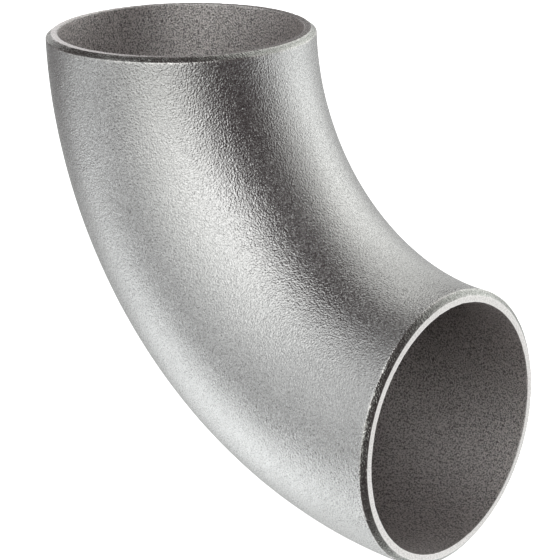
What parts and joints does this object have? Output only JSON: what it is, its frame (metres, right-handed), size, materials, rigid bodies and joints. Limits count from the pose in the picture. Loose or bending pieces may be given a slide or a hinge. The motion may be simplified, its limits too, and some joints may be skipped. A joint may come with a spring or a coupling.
{
  "type": "pipe elbow",
  "caption": "Long-radius quarter-turn pipe elbow, a bent thin-walled tube with both ends square and bevelled for butt welding.",
  "frame": {"origin": "centre of the upper end's face, where the upper pipe's axis leaves the elbow", "axes": "+Z out of the upper end along its pipe's axis; +X out of the lower end along its pipe's axis; the bend lies in the XZ plane, and +Y is square to it"},
  "size_m": [0.1064, 0.0604, 0.1064],
  "materials": {
    "stainless_steel": "shot-blasted and pickled stainless steel, satin grey with a fine even grain; machined weld ends"
  },
  "bodies": {
    "root": {"elbow_body": "stainless_steel"}
  },
  "joints": []
}
